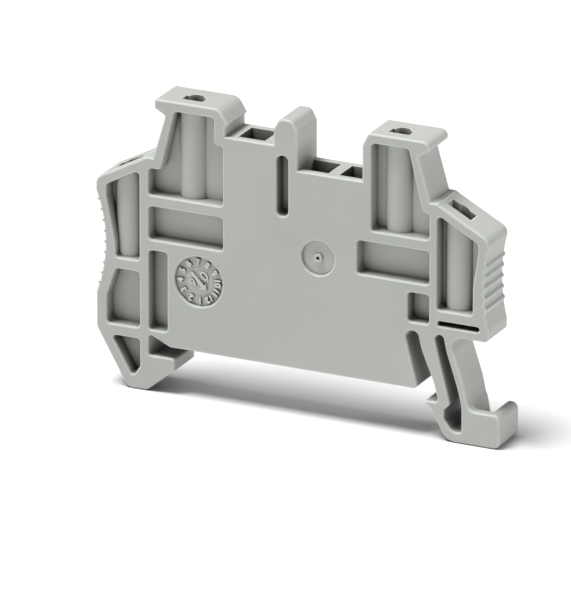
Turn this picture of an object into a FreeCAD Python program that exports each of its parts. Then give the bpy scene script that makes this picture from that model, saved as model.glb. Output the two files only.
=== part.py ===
import FreeCAD
import Part
import Sketcher
import math
import os

# End stop for a row of terminal blocks on 35 mm mounting rail. It is one moulding in grey polyamide:
# a flat plate that hooks round one edge of the rail and snaps over the other with a sprung arm.
# Two towers and two sloping shoulders carry slots for clip-in markers.
# X runs across the rail, Y along it, Z up from the rail. The origin is in the middle of the seat, which
# is the flat underside that rests on the rail, at half the thickness. The arm is on the +X side.

# Every length is in millimetres. Heights are above the seat; names with "below" are depths under it.
SIZES = {
    # The rail, and the play that the moulding leaves round it
    "rail_half_width": 17.5,
    "rail_sheet": 1.0,
    "hook_side_play": 0.4,
    "hook_top_play": 0.35,
    "nose_top_play": 0.2,
    # The plate
    "thickness": 5.15,
    "half_body": 24.45,
    "notch_height": 22.5,
    "left_ledge_height": 26.4,
    "right_ledge_height": 23.75,
    "crown_height": 29.6,
    "arm_root_height": 6.9,
    "seat_right": 15.85,
    "gap_left_top": 14.05,
    "gap_round": 0.8,
    "ramp_run": 2.7,
    "ramp_rise": 1.25,
    "body_corner_round": 0.5,
    # The fixed hook under the left edge of the rail
    "leg_bend_height": 1.1,
    "sole_below": 5.7,
    "sole_left": 20.55,
    "sole_right": 18.1,
    "hook_reach": 3.3,
    "hook_tip_height": 1.4,
    "leg_round": 0.9,
    "hook_tip_round": 0.35,
    # Sloping shoulders beside the towers
    "notch_outer": 18.25,
    "shoulder_slope": 0.55,
    "shoulder_step": 0.12,
    "shoulder_round": 1.1,
    # Hollow sides with finger ridges
    "left_waist_low": 5.4,
    "left_waist_high": 17.6,
    "left_waist_depth": 1.15,
    "right_waist_low": 8.3,
    "right_waist_high": 18.3,
    "right_waist_depth": 0.62,
    "left_ridges": 9,
    "right_ridges": 5,
    "ridge_pitch": 1.28,
    "ridge_round": 0.1,
    "left_ridge_height": 0.32,
    "left_ridge_above": 0.42,
    "left_ridge_below": 0.22,
    "right_ridge_height": 0.27,
    "right_ridge_above": 0.85,
    "right_ridge_below": 0.85,
    # Towers
    "tower_foot_outer": 17.25,
    "tower_neck_outer": 15.7,
    "tower_neck_height": 27.8,
    "lip_side": 17.05,
    "lip_height": 28.5,
    "lip_round": 0.35,
    "left_tower_inner": 8.2,
    "left_tower_brow": 7.9,
    "left_tower_brow_height": 27.85,
    "left_tower_crown_end": 8.95,
    "left_tower_round": 1.3,
    "right_tower_inner": 8.85,
    "right_tower_crown_end": 9.65,
    "right_tower_bevel_height": 28.1,
    "right_crown_round": 0.75,
    # Tab between the towers
    "tab_left": 2.15,
    "tab_right": 0.82,
    "tab_bevel_width": 0.7,
    "tab_bevel_height": 1.3,
    "tab_round": 0.7,
    # Sprung arm: where its inner side runs, and how wide its two leaves and the slot between them are
    "arm_root_x": 15.75,
    "arm_knee_x": 16.2,
    "arm_knee_height": 4.9,
    "arm_hip_x": 17.75,
    "arm_hip_height": 1.1,
    "arm_end_x": 18.35,
    "inner_leaf_upper": 2.0,
    "inner_leaf_lower": 1.45,
    "arm_slot_upper": 1.15,
    "arm_slot_lower": 1.4,
    "outer_leaf": 0.9,
    "arm_bend_round": 6.0,
    "arm_root_round": 1.0,
    "bulb_left": 19.05,
    "bulb_top_below": 2.0,
    "bulb_low_below": 3.1,
    "bulb_floor_left": 20.1,
    "slot_floor_below": 4.45,
    # Nose that catches the right edge of the rail
    "nose_catch": 0.75,
    "nose_tip_height": 0.4,
    "nose_chin_x": 17.35,
    "nose_chin_below": 2.0,
    "sole_arm_left": 19.35,
    "sole_arm_round": 1.8,
    # Foot of the arm, with the slot for a screwdriver that opens it
    "foot_end": 25.9,
    "foot_top_below": 1.65,
    "foot_fillet": 1.0,
    "foot_top_round": 0.75,
    "foot_sole_round": 0.7,
    "foot_web": 1.15,
    "upright_wide": 1.5,
    "upright_round": 0.6,
    "pry_slot_below": 4.2,
    # Pockets that thin the plate from both faces
    "pocket_depth": 1.8,
    "pocket_round": 0.45,
    "outer_wall": 1.3,
    "roof": 1.35,
    "left_rib_inner": 17.85,
    "left_rib_outer": 19.0,
    "right_rib_inner": 17.15,
    "right_rib_outer": 18.1,
    "left_core_edge": 8.5,
    "right_core_edge": 8.2,
    "tower_pocket_low": 18.0,
    "tower_pocket_step": 21.2,
    "tower_pocket_top": 28.45,
    "left_tower_pocket_right": 9.6,
    "left_tower_pocket_jog": 25.2,
    "right_tower_pocket_left": 9.95,
    "tower_pocket_slant_foot": 16.3,
    "tower_pocket_slant_head": 14.55,
    "middle_pocket_low": 12.65,
    "middle_pocket_top": 16.65,
    "column_pocket_low": 9.85,
    "lower_pocket_low": 1.75,
    "lower_pocket_top": 8.5,
    "lower_pocket_bevel": 5.15,
    "upright_pocket_right": 15.5,
    "upright_pocket_top": 11.35,
    "leg_pocket_top": 0.4,
    "leg_pocket_below": 4.3,
    "leg_wall": 1.45,
    "small_pocket_left": 14.5,
    "small_pocket_low": 7.95,
    "small_pocket_top": 11.45,
    "slit_left": 18.2,
    "slit_right": 23.35,
    "slit_low": 7.98,
    "slit_high": 8.58,
    # Slot in the middle of the plate
    "slot_left": 1.8,
    "slot_right": 0.36,
    "slot_low": 18.0,
    "slot_high": 25.25,
    # Round columns in the pockets, bored from the top
    "column_radius": 1.85,
    "column_root": 0.6,
    "left_tower_column": 13.0,
    "right_tower_column": 12.7,
    "left_shoulder_column": 21.1,
    "right_shoulder_column": 20.1,
    "bore_radius": 0.95,
    "bore_depth": 8.0,
    # Marker slots over the columns
    "tower_marker_wide": 2.6,
    "tower_marker_front": 1.1,
    "tower_marker_back": 0.15,
    "tower_marker_depth": 3.0,
    "shoulder_marker_wide": 2.95,
    "shoulder_marker_front": 1.0,
    "shoulder_marker_back": 0.65,
    "shoulder_marker_depth": 4.4,
    # Sockets sunk from the ledges
    "socket_wall": 0.85,
    "socket_depth": 6.2,
    "left_socket_left": 6.9,
    "left_socket_right": 3.58,
    "tab_socket_wide": 3.5,
    "tower_socket_wide": 3.2,
    # Round moulding marks on the front face
    "dial_x": 11.57,
    "dial_height": 8.5,
    "dial_radius": 3.0,
    "dial_depth": 0.45,
    "gate_x": 3.35,
    "gate_height": 13.7,
    "gate_radius": 2.05,
    "gate_depth": 0.4,
    "gate_nub_radius": 0.5,
    "gate_pip_radius": 0.23,
    "gate_nub_height": 0.33,
    # The edges of the front face are broken
    "edge_break": 0.14,
}

VOLUME_STEP = 1e-4
EDGE_FIND = 1e-3


class Size:
    """A length together with the sheet formula that gives it."""

    def __init__(self, value, formula):
        self.value = value
        self.formula = formula

    def __add__(self, other):
        other = as_size(other)
        return Size(self.value + other.value, f"({self.formula} + {other.formula})")

    def __sub__(self, other):
        other = as_size(other)
        return Size(self.value - other.value, f"({self.formula} - {other.formula})")

    def __mul__(self, other):
        other = as_size(other)
        return Size(self.value * other.value, f"({self.formula} * {other.formula})")

    def __truediv__(self, other):
        other = as_size(other)
        return Size(self.value / other.value, f"({self.formula} / {other.formula})")

    def __neg__(self):
        return Size(-self.value, f"(0 - {self.formula})")


def as_size(number):
    """Gives a plain number the form of a size."""
    if isinstance(number, Size):
        return number
    return Size(float(number), repr(float(number)))


class Sizes:
    """Looks a size up by its name in the sheet."""

    def __getattr__(self, name):
        return Size(float(SIZES[name]), f"sizes.{name}")


s = Sizes()


def make_sheet(doc):
    """Writes the driving dimensions into the spreadsheet, one aliased cell each."""
    sheet = doc.addObject("Spreadsheet::Sheet", "sizes")
    for row, (name, value) in enumerate(SIZES.items(), start=1):
        sheet.set(f"A{row}", str(value))
        sheet.setAlias(f"A{row}", name)
    doc.recompute()


def bind(thing, path, size):
    """Sets a property from a size and ties it to the sheet."""
    size = as_size(size)
    thing.setExpression(path, size.formula)


def origin_feature(body, role):
    """Finds one of the planes or axes of the body's own origin."""
    for feature in body.Origin.OriginFeatures:
        if feature.Role == role:
            return feature
    raise ValueError(f"no {role} in the origin")


def new_sketch(body, name, plane="XZ_Plane", out=0.0, across=0.0, up=0.0, turn=0.0):
    """Starts a sketch on an origin plane, moved out along its normal and shifted or turned in it."""
    sketch = body.newObject("Sketcher::SketchObject", name)
    sketch.AttachmentSupport = [(origin_feature(body, plane), "")]
    sketch.MapMode = "FlatFace"
    place = [as_size(part) for part in (across, up, out)]
    turn = as_size(turn)
    base = FreeCAD.Vector(*[part.value for part in place])
    rotation = FreeCAD.Rotation(FreeCAD.Vector(0, 0, 1), turn.value)
    sketch.AttachmentOffset = FreeCAD.Placement(base, rotation)
    for axis, part in zip("xyz", place):
        bind(sketch, f"AttachmentOffset.Base.{axis}", part)
    if turn.value:
        bind(sketch, "AttachmentOffset.Rotation.Angle", turn)
    return sketch


def hold_point(sketch, geometry, end, x, y):
    """Fixes a point of the sketch at x, y from the sketch's origin."""
    for kind, size in (("DistanceX", x), ("DistanceY", y)):
        index = sketch.addConstraint(Sketcher.Constraint(kind, -1, 1, geometry, end, size.value))
        bind(sketch, f"Constraints[{index}]", size)


def corner_tangents(before, corner, after, radius):
    """Where a rounding of this radius leaves the line before a corner and joins the line after it."""
    to_before = (before - corner).normalize()
    to_after = (after - corner).normalize()
    half_angle = to_before.getAngle(to_after) / 2
    reach = radius / math.tan(half_angle)
    centre = corner + (to_before + to_after).normalize() * (radius / math.sin(half_angle))
    return corner + to_before * reach, corner + to_after * reach, centre


def draw_loop(sketch, corners):
    """Draws a closed outline through its corners. A corner with a third value is rounded by it."""
    corners = [[as_size(part) for part in corner] for corner in corners]
    points = [FreeCAD.Vector(corner[0].value, corner[1].value, 0) for corner in corners]
    count = len(corners)
    arrivals = list(points)
    departures = list(points)
    centres = [None] * count
    for i, corner in enumerate(corners):
        if len(corner) == 3:
            before = points[i - 1]
            after = points[(i + 1) % count]
            arrivals[i], departures[i], centres[i] = corner_tangents(before, points[i], after, corner[2].value)
    lines = []
    for i in range(count):
        lines.append(sketch.addGeometry(Part.LineSegment(departures[i], arrivals[(i + 1) % count]), False))
    for i, corner in enumerate(corners):
        line_in = lines[i - 1]
        line_out = lines[i]
        if len(corner) == 2:
            sketch.addConstraint(Sketcher.Constraint("Coincident", line_in, 2, line_out, 1))
            hold_point(sketch, line_out, 1, corner[0], corner[1])
            continue
        round_corner(sketch, corner, points[i], line_in, line_out, arrivals[i], departures[i], centres[i])


def round_corner(sketch, corner, point, line_in, line_out, arrival, departure, centre):
    """Joins two lines by a tangent arc whose corner point stays where the outline puts it."""
    radius = corner[2]
    turns_left = (departure - centre).cross(arrival - centre).z < 0
    first, last = (arrival, departure) if turns_left else (departure, arrival)
    first_angle = math.atan2(first.y - centre.y, first.x - centre.x)
    last_angle = math.atan2(last.y - centre.y, last.x - centre.x)
    circle = Part.Circle(centre, FreeCAD.Vector(0, 0, 1), radius.value)
    arc = sketch.addGeometry(Part.ArcOfCircle(circle, first_angle, last_angle), False)
    arc_in, arc_out = (1, 2) if turns_left else (2, 1)
    sketch.addConstraint(Sketcher.Constraint("Tangent", line_in, 2, arc, arc_in))
    sketch.addConstraint(Sketcher.Constraint("Tangent", arc, arc_out, line_out, 1))
    index = sketch.addConstraint(Sketcher.Constraint("Radius", arc, radius.value))
    bind(sketch, f"Constraints[{index}]", radius)
    mark = sketch.addGeometry(Part.Point(point), True)
    sketch.addConstraint(Sketcher.Constraint("PointOnObject", mark, 1, line_in))
    sketch.addConstraint(Sketcher.Constraint("PointOnObject", mark, 1, line_out))
    hold_point(sketch, mark, 1, corner[0], corner[1])


def draw_box(sketch, low_x, high_x, low_y, high_y, radius=None):
    """Draws a rectangle, with rounded corners when a radius is given."""
    corners = [(low_x, low_y), (high_x, low_y), (high_x, high_y), (low_x, high_y)]
    if radius is not None:
        corners = [(x, y, radius) for x, y in corners]
    draw_loop(sketch, corners)


def draw_circle(sketch, x, y, radius):
    """Draws a circle held by its centre and radius."""
    x, y, radius = as_size(x), as_size(y), as_size(radius)
    circle = Part.Circle(FreeCAD.Vector(x.value, y.value, 0), FreeCAD.Vector(0, 0, 1), radius.value)
    index = sketch.addGeometry(circle, False)
    hold_point(sketch, index, 3, x, y)
    number = sketch.addConstraint(Sketcher.Constraint("Radius", index, radius.value))
    bind(sketch, f"Constraints[{number}]", radius)


def volume_ahead_of(body, feature):
    """The volume that the body had just before a feature."""
    solid = None
    for earlier in body.Group:
        if earlier.Name == feature.Name:
            break
        if not earlier.isDerivedFrom("Sketcher::SketchObject"):
            solid = earlier
    return solid.Shape.Volume if solid else 0.0


def settle(body, feature, grows, merge=False):
    """Recomputes the body and makes sure that the new feature added or removed material."""
    volume_before = volume_ahead_of(body, feature)
    feature.Refine = merge
    body.Tip = feature
    body.Document.recompute()
    change = feature.Shape.Volume - volume_before
    if not grows:
        change = -change
    if change < VOLUME_STEP:
        raise RuntimeError(f"{feature.Label} changes nothing")
    return feature


def pad(body, sketch, name, length, side="One side"):
    """Adds material on a sketch. Symmetric puts half of the length on each side of it."""
    feature = body.newObject("PartDesign::Pad", name)
    feature.Profile = sketch
    feature.SideType = side
    bind(feature, "Length", length)
    return settle(body, feature, grows=True)


def cut(body, sketch, name, length=None, side="One side"):
    """Removes material behind a sketch, to a depth or, with no length, all the way through."""
    feature = body.newObject("PartDesign::Pocket", name)
    feature.Profile = sketch
    feature.SideType = side
    if length is None:
        feature.Type = "ThroughAll"
    else:
        bind(feature, "Length", length)
    return settle(body, feature, grows=False)


def full_width_pad(body, name, corners):
    """Pads an outline drawn in the middle plane to the full thickness of the plate."""
    sketch = new_sketch(body, f"{name}_outline")
    draw_loop(sketch, corners)
    return pad(body, sketch, name, s.thickness, "Symmetric")


def through_cut(body, name, corners):
    """Cuts an outline drawn in the middle plane through the whole plate."""
    sketch = new_sketch(body, f"{name}_outline")
    draw_loop(sketch, corners)
    return cut(body, sketch, name, side="Symmetric")


def seat_plate(body):
    """The plate, from the notches beside the towers down to the seat and the fixed hook."""
    throat = -(s.rail_half_width + s.hook_side_play)
    hook_top = -(s.rail_sheet + s.hook_top_play)
    hook_tip = throat + s.hook_reach
    hook_low = hook_top - s.hook_tip_height
    tab_middle = (s.tab_right - s.tab_left) / 2
    corners = [
        (-s.half_body, s.notch_height),
        (-s.left_tower_inner, s.notch_height),
        (-s.left_tower_inner, s.left_ledge_height),
        (tab_middle, s.left_ledge_height),
        (tab_middle, s.right_ledge_height),
        (s.right_tower_inner, s.right_ledge_height),
        (s.right_tower_inner, s.notch_height),
        (s.half_body, s.notch_height),
        (s.half_body, s.arm_root_height, s.body_corner_round),
        (s.gap_left_top, s.arm_root_height, s.gap_round),
        (s.seat_right, 0, s.body_corner_round),
        (throat + s.ramp_run, 0),
        (throat, s.ramp_rise, s.hook_tip_round),
        (throat, hook_top, s.hook_tip_round),
        (hook_tip, hook_top, s.hook_tip_round),
        (hook_tip, hook_low, s.hook_tip_round),
        (-s.sole_right, -s.sole_below, s.leg_round),
        (-s.sole_left, -s.sole_below, s.leg_round),
        (-s.half_body, s.leg_bend_height, s.leg_round),
    ]
    return full_width_pad(body, "seat_plate", corners)


def left_tower(body):
    """The left marker tower, with its outer lip and the rounded brow over the ledge."""
    foot = s.notch_height - s.roof
    corners = [
        (-s.tower_foot_outer, foot),
        (-s.tower_foot_outer, s.notch_height),
        (-s.tower_neck_outer, s.tower_neck_height, s.lip_round),
        (-s.lip_side, s.lip_height, s.lip_round),
        (-s.lip_side, s.crown_height, s.lip_round),
        (-s.left_tower_crown_end, s.crown_height, s.left_tower_round),
        (-s.left_tower_brow, s.left_tower_brow_height),
        (-s.left_tower_inner, s.left_tower_brow_height - s.lip_round),
        (-s.left_tower_inner, foot),
    ]
    return full_width_pad(body, "left_tower", corners)


def right_tower(body):
    """The right marker tower, with its outer lip and a bevelled inner corner."""
    foot = s.notch_height - s.roof
    corners = [
        (s.right_tower_inner, foot),
        (s.right_tower_inner, s.right_tower_bevel_height, s.lip_round),
        (s.right_tower_crown_end, s.crown_height, s.lip_round),
        (s.lip_side, s.crown_height, s.right_crown_round),
        (s.lip_side, s.lip_height, s.lip_round),
        (s.tower_neck_outer, s.tower_neck_height, s.lip_round),
        (s.tower_foot_outer, s.notch_height),
        (s.tower_foot_outer, foot),
    ]
    return full_width_pad(body, "right_tower", corners)


def centre_tab(body):
    """The upright tab between the two ledges."""
    foot = s.right_ledge_height - s.roof
    bevel = s.crown_height - s.tab_bevel_height
    corners = [
        (-s.tab_left, foot),
        (-s.tab_left, bevel, s.tab_round),
        (-s.tab_left + s.tab_bevel_width, s.crown_height, s.tab_round),
        (s.tab_right - s.tab_bevel_width, s.crown_height, s.tab_round),
        (s.tab_right, bevel, s.tab_round),
        (s.tab_right, foot),
    ]
    return full_width_pad(body, "centre_tab", corners)


def arm_sides():
    """The four sides of the arm's two leaves, from the root down to the end, as lists of points."""
    stations = [
        (s.arm_root_x, s.arm_root_height, s.inner_leaf_upper, s.arm_slot_upper),
        (s.arm_knee_x, s.arm_knee_height, s.inner_leaf_upper, s.arm_slot_upper),
        (s.arm_hip_x, s.arm_hip_height, s.inner_leaf_lower, s.arm_slot_lower),
        (s.arm_end_x, -(s.rail_sheet + s.nose_top_play), s.inner_leaf_lower, s.arm_slot_lower),
    ]
    inner = [(x, z) for x, z, leaf, slot in stations]
    slot_near = [(x + leaf, z) for x, z, leaf, slot in stations]
    slot_far = [(x + leaf + slot, z) for x, z, leaf, slot in stations]
    outer = [(x + leaf + slot + s.outer_leaf, z) for x, z, leaf, slot in stations]
    return inner, slot_near, slot_far, outer


def sprung_arm(body):
    """The arm, its nose under the rail's right edge and its foot, before the slots are cut."""
    inner, slot_near, slot_far, outer = arm_sides()
    root_top = s.arm_root_height + s.roof / 2
    root_left = s.arm_root_x - s.gap_round
    root_right = outer[0][0] + s.arm_root_round * 2
    nose_top = inner[3][1]
    nose_tip = s.rail_half_width - s.nose_catch
    corners = [
        (root_left, root_top),
        (root_right, root_top),
        (root_right, s.arm_root_height),
        (*outer[0], s.arm_root_round),
        (*outer[1], s.arm_bend_round),
        (*outer[2], s.arm_bend_round),
        (outer[3][0], -s.foot_top_below, s.foot_fillet),
        (s.foot_end, -s.foot_top_below, s.foot_top_round),
        (s.foot_end, -s.sole_below, s.foot_sole_round),
        (s.sole_arm_left, -s.sole_below, s.sole_arm_round),
        (s.nose_chin_x, -s.nose_chin_below, s.foot_sole_round),
        (nose_tip, nose_top - s.nose_tip_height),
        (nose_tip, nose_top),
        (*inner[3], s.lip_round),
        (*inner[2], s.arm_bend_round),
        (*inner[1], s.arm_bend_round),
        (*inner[0], s.gap_round),
        (root_left, s.arm_root_height),
    ]
    return full_width_pad(body, "sprung_arm", corners)


def arm_slot(body):
    """The slot that splits the arm into two thin leaves and ends in a bulb above the sole."""
    inner, slot_near, slot_far, outer = arm_sides()
    tip_round = s.arm_slot_upper * 0.46
    bulb_round = s.arm_root_round
    corners = [
        (*slot_near[0], tip_round),
        (*slot_far[0], tip_round),
        (*slot_far[1], s.arm_bend_round),
        (*slot_far[2], s.arm_bend_round),
        (*slot_far[3], s.arm_bend_round),
        (slot_far[3][0], -s.slot_floor_below, s.lip_round),
        (s.bulb_floor_left, -s.slot_floor_below, bulb_round),
        (s.bulb_left, -s.bulb_low_below, bulb_round),
        (s.bulb_left, -s.bulb_top_below, s.lip_round),
        (*slot_near[3], s.lip_round),
        (*slot_near[2], s.arm_bend_round),
        (*slot_near[1], s.arm_bend_round),
    ]
    return through_cut(body, "arm_slot", corners)


def pry_slot(body):
    """The open slot behind the foot's front web, where a screwdriver pushes the arm aside."""
    inner, slot_near, slot_far, outer = arm_sides()
    upright = s.foot_end - s.upright_wide
    drift = (outer[3][0] - outer[2][0]) * 1.0
    corners = [
        outer[2],
        outer[3],
        (outer[3][0] + drift, -s.pry_slot_below, s.lip_round),
        (upright, -s.pry_slot_below, s.lip_round),
        (upright, s.arm_hip_height),
    ]
    sketch = new_sketch(body, "pry_slot_outline", out=s.thickness / 2 - s.foot_web)
    draw_loop(sketch, corners)
    return cut(body, sketch, "pry_slot")


def shoulders(body):
    """Cuts the sloping shoulders outside both towers, a small step below the notches."""
    slope_end = s.notch_height - s.shoulder_slope * (s.half_body - s.notch_outer)
    past = s.half_body + s.roof
    sketch = new_sketch(body, "shoulders_outline")
    for side in (-1, 1):
        draw_loop(sketch, [
            (s.notch_outer * side, s.notch_height - s.shoulder_step),
            (s.half_body * side, slope_end, s.shoulder_round),
            (s.half_body * side, slope_end - s.shoulder_round),
            (past * side, slope_end - s.shoulder_round),
            (past * side, s.notch_height + s.roof),
            (s.notch_outer * side, s.notch_height + s.roof),
        ])
    return cut(body, sketch, "shoulders", side="Symmetric")


def waist_arc(low, high, depth):
    """Half height, radius and middle height of the hollow in a side."""
    half = (high - low) / 2
    radius = (half * half + depth * depth) / (depth * 2)
    return radius, (high + low) / 2


def waist(body, side, name, low, high, depth):
    """Hollows a side with one large arc."""
    radius, middle = waist_arc(low, high, depth)
    hollow = new_sketch(body, f"{name}_outline", across=(s.half_body - depth + radius) * side, up=middle)
    draw_circle(hollow, 0, 0, radius)
    return cut(body, hollow, name, side="Symmetric")


def finger_ridges(body, side, name, hollow, count, height, above, below):
    """Sets finger ridges along a hollow side. Each wedge is rooted as deep in the wall as it stands out."""
    radius, middle = waist_arc(*hollow)
    centre = (s.half_body - hollow[2] + radius) * side
    spread = (count - 1) * s.ridge_pitch / radius * as_size(math.degrees(1))
    profile = new_sketch(body, f"{name}_outline", across=centre, up=middle, turn=-spread / 2)
    root = (radius + height) * -side
    tip = (radius - height) * -side
    draw_loop(profile, [(root, -below), (tip, 0, s.ridge_round), (root, above)])
    ridge = pad(body, profile, f"{name}_first", s.thickness, "Symmetric")
    pattern = body.newObject("PartDesign::PolarPattern", name)
    pattern.Originals = [ridge]
    pattern.Axis = (profile, ["N_Axis"])
    pattern.Mode = "Extent"
    bind(pattern, "Angle", spread)
    bind(pattern, "Occurrences", count)
    return settle(body, pattern, grows=True)


def face_pockets(body, name, outlines):
    """Cuts pockets from the front face. Corners without a radius get the common one."""
    sketch = new_sketch(body, f"{name}_outline", out=s.thickness / 2)
    for corners in outlines:
        draw_loop(sketch, [corner if len(corner) == 3 else (*corner, s.pocket_round) for corner in corners])
    return cut(body, sketch, name, s.pocket_depth)


def box_corners(low_x, high_x, low_z, high_z):
    """The four corners of an upright rectangle."""
    return [(low_x, low_z), (high_x, low_z), (high_x, high_z), (low_x, high_z)]


def tower_pockets(body):
    """The tall pocket in each tower, which reaches down beside the tower's foot."""
    left = [
        (-s.left_rib_inner, s.tower_pocket_low),
        (-s.left_rib_inner, s.tower_pocket_step),
        (-s.tower_pocket_slant_foot, s.tower_pocket_step),
        (-s.tower_pocket_slant_head, s.tower_pocket_top),
        (-s.left_tower_pocket_right, s.tower_pocket_top),
        (-s.left_tower_pocket_right, s.left_tower_pocket_jog),
        (-s.left_core_edge, s.left_tower_pocket_jog),
        (-s.left_core_edge, s.tower_pocket_low),
    ]
    right = [
        (s.right_tower_pocket_left, s.tower_pocket_low),
        (s.right_tower_pocket_left, s.tower_pocket_top),
        (s.tower_pocket_slant_head, s.tower_pocket_top),
        (s.tower_pocket_slant_foot, s.tower_pocket_step),
        (s.right_rib_inner, s.tower_pocket_step),
        (s.right_rib_inner, s.tower_pocket_low),
    ]
    return face_pockets(body, "tower_pockets", [left, right])


def middle_pockets(body):
    """The two wide pockets under the towers and the small ones below them."""
    low, high = s.middle_pocket_low, s.middle_pocket_top
    return face_pockets(body, "middle_pockets", [
        box_corners(-s.left_rib_inner, -s.left_core_edge, low, high),
        box_corners(s.right_core_edge, s.right_rib_inner, low, high),
        box_corners(-s.left_rib_inner, -s.upright_pocket_right, s.lower_pocket_low, s.upright_pocket_top),
        box_corners(s.small_pocket_left, s.right_rib_inner, s.small_pocket_low, s.small_pocket_top),
    ])


def roof_height(x):
    """Height of the underside of a shoulder's roof at a distance from the middle."""
    return s.notch_height - s.roof - s.shoulder_slope * (x - s.notch_outer)


def under_shoulder(side, rib, waist_depth, waist_middle):
    """Outline of the pocket under a shoulder. Its outer side follows the hollow of the body's side."""
    wall_x = s.half_body - s.outer_wall
    waist_x = wall_x - waist_depth
    return [
        (rib * side, s.column_pocket_low),
        (rib * side, roof_height(rib)),
        (wall_x * side, roof_height(wall_x)),
        (wall_x * side, roof_height(wall_x) - s.roof),
        (waist_x * side, waist_middle, s.arm_bend_round),
        (waist_x * side, s.column_pocket_low),
    ]


def shoulder_pockets(body):
    """The pockets under both shoulders."""
    left_middle = waist_arc(s.left_waist_low, s.left_waist_high, s.left_waist_depth)[1]
    right_middle = waist_arc(s.right_waist_low, s.right_waist_high, s.right_waist_depth)[1]
    return face_pockets(body, "shoulder_pockets", [
        under_shoulder(-1, s.left_rib_outer, s.left_waist_depth, left_middle),
        under_shoulder(1, s.right_rib_outer, s.right_waist_depth, right_middle),
    ])


def leg_pockets(body):
    """The pocket above the leg and the three-cornered one in it."""
    wall_x = s.half_body - s.outer_wall
    waist_x = wall_x - s.left_waist_depth
    above = [
        (-wall_x, s.lower_pocket_low),
        (-wall_x, s.lower_pocket_bevel),
        (-waist_x, s.lower_pocket_top),
        (-s.left_rib_outer, s.lower_pocket_top),
        (-s.left_rib_outer, s.lower_pocket_low),
    ]
    lean = (s.half_body - s.sole_left) / (s.leg_bend_height + s.sole_below)
    slant_top = s.half_body - s.leg_wall - lean * (s.leg_bend_height - s.leg_pocket_top)
    slant_low = s.half_body - s.leg_wall - lean * (s.leg_bend_height + s.leg_pocket_below)
    inside = [
        (-slant_top, s.leg_pocket_top, s.hook_tip_round),
        (-s.left_rib_outer, s.leg_pocket_top),
        (-s.left_rib_outer, -s.leg_pocket_below + s.roof),
        (-slant_low, -s.leg_pocket_below, s.hook_tip_round),
    ]
    return face_pockets(body, "leg_pockets", [above, inside])


def slits(body):
    """The upright slot in the middle of the plate and the flat slit over the arm."""
    slot_round = (s.slot_left - s.slot_right) * 0.48
    slit_round = (s.slit_high - s.slit_low) * 0.48
    slot = box_corners(-s.slot_left, -s.slot_right, s.slot_low, s.slot_high)
    slit = box_corners(s.slit_left, s.slit_right, s.slit_low, s.slit_high)
    return face_pockets(body, "slits", [
        [(x, z, slot_round) for x, z in slot],
        [(x, z, slit_round) for x, z in slit],
    ])


def mirror_to_back(body, pockets):
    """Repeats the front pockets on the back face, which leaves a web in the middle of the plate."""
    mirror = body.newObject("PartDesign::Mirrored", "back_pockets")
    mirror.Originals = pockets
    mirror.MirrorPlane = (origin_feature(body, "XZ_Plane"), [""])
    return settle(body, mirror, grows=False)


def column_pair(body, name, left_x, right_x, low, top):
    """Two round columns that stand in pockets from their floor to their roof."""
    sketch = new_sketch(body, f"{name}_outline", plane="XY_Plane", out=low)
    for x in (-left_x, right_x):
        draw_circle(sketch, x, 0, s.column_radius)
    return pad(body, sketch, name, top - low)


def columns(body):
    """The four columns: one in each tower and one under each shoulder."""
    low = s.tower_pocket_low - s.column_root
    top = s.tower_pocket_top + s.column_root
    column_pair(body, "tower_columns", s.left_tower_column, s.right_tower_column, low, top)
    low = s.column_pocket_low - s.column_root
    column_pair(body, "shoulder_columns", s.left_shoulder_column, s.right_shoulder_column, low, s.notch_height)


def marker_holes(body, name, left_x, right_x, top, slot, depth):
    """A pair of marker slots, each with a deeper round bore behind it, sunk down the columns' axes."""
    wide, front, back = slot
    slots = new_sketch(body, f"{name}_slots_outline", plane="XY_Plane", out=top)
    bores = new_sketch(body, f"{name}_bores_outline", plane="XY_Plane", out=top)
    for x in (-left_x, right_x):
        draw_box(slots, x - wide / 2, x + wide / 2, -front, back)
        draw_circle(bores, x, 0, s.bore_radius)
    cut(body, slots, f"{name}_slots", depth)
    return cut(body, bores, f"{name}_bores", s.bore_depth)


def ledge_sockets(body):
    """One socket in the left ledge and two in the right, against the tab and against the tower."""
    half = s.thickness / 2 - s.socket_wall
    left = new_sketch(body, "left_socket_outline", plane="XY_Plane", out=s.left_ledge_height)
    draw_box(left, -s.left_socket_left, -s.left_socket_right, -half, half)
    cut(body, left, "left_socket", s.socket_depth)
    right = new_sketch(body, "right_sockets_outline", plane="XY_Plane", out=s.right_ledge_height)
    draw_box(right, s.tab_right, s.tab_right + s.tab_socket_wide, -half, half)
    draw_box(right, s.right_tower_inner - s.tower_socket_wide, s.right_tower_inner, -half, half)
    return cut(body, right, "right_sockets", s.socket_depth)


def mould_marks(body):
    """The round recess of the date dial and the dimple with the gate's nub."""
    face = s.thickness / 2
    dial = new_sketch(body, "date_dial_outline", out=face)
    draw_circle(dial, -s.dial_x, s.dial_height, s.dial_radius)
    cut(body, dial, "date_dial", s.dial_depth)
    gate = new_sketch(body, "gate_dimple_outline", out=face)
    draw_circle(gate, s.gate_x, s.gate_height, s.gate_radius)
    cut(body, gate, "gate_dimple", s.gate_depth)
    nub = new_sketch(body, "gate_nub_outline", out=face - s.gate_depth)
    draw_circle(nub, s.gate_x, s.gate_height, s.gate_nub_radius)
    draw_circle(nub, s.gate_x, s.gate_height, s.gate_pip_radius)
    settle(body, pad(body, nub, "gate_nub", s.gate_nub_height), grows=True, merge=True)


def edge_along_y(shape, x, z):
    """Names the edges of a shape that run along the rail through x, z."""
    names = []
    for number, edge in enumerate(shape.Edges, start=1):
        box = edge.BoundBox
        flat = box.XLength < EDGE_FIND and box.ZLength < EDGE_FIND
        if flat and abs(box.XMin - x.value) < EDGE_FIND and abs(box.ZMin - z.value) < EDGE_FIND:
            names.append(f"Edge{number}")
    return names


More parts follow.
